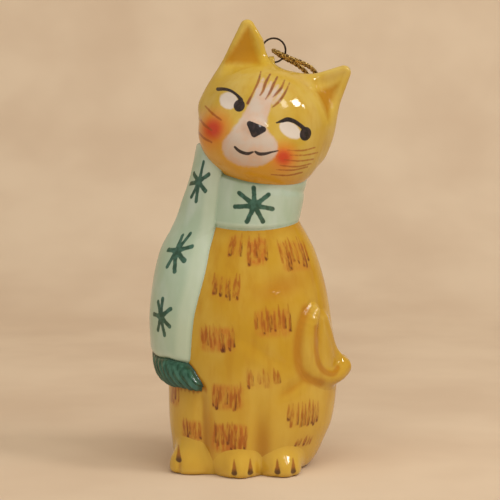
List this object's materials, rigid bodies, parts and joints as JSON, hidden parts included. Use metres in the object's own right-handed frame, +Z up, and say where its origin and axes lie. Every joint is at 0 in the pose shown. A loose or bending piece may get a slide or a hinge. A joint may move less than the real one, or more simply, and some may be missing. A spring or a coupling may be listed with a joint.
{
  "type": "hanging cat ornament",
  "caption": "Glazed ceramic upright cat with a leaning head, a long scarf with a fringe and painted stars, hung by a wire ring and a twisted cord loop.",
  "frame": {"origin": "on the standing surface, under the middle of the figure without its cord", "axes": "+Z up the figure, the face towards -Y, the head leaning towards +X"},
  "size_m": [0.052, 0.0415, 0.1156],
  "materials": {
    "mustard_glaze": "clear gloss glaze over mustard underglaze",
    "head_glaze": "clear gloss glaze over pale mustard underglaze with painted face",
    "mint_glaze": "clear gloss glaze over pale mint underglaze with painted stars",
    "green_glaze": "clear gloss glaze over brushed dark green underglaze",
    "dark_wire": "dark tarnished wire",
    "gold_cord": "twisted metallic thread"
  },
  "bodies": {
    "figurine": {"body_casting": "mustard_glaze", "head_casting": "head_glaze", "scarf_collar": "mint_glaze", "scarf_tail": "mint_glaze", "scarf_fringe": "green_glaze", "cat_tail": "mustard_glaze", "front_paw_left": "mustard_glaze", "front_paw_right": "mustard_glaze", "hind_foot": "mustard_glaze", "hanger_lug": "head_glaze", "hanging_cord": "gold_cord", "cord_knot": "gold_cord"},
    "ring": {"hanger_ring": "dark_wire"}
  },
  "joints": [
    {"name": "ring_swing", "type": "hinge", "parent": "figurine", "child": "ring", "pos_m": [0.00551, 0.00436, 0.1047], "axis": [1, 0, 0], "range_deg": [-75, 3], "deforming": ["hanging_cord"]}
  ]
}
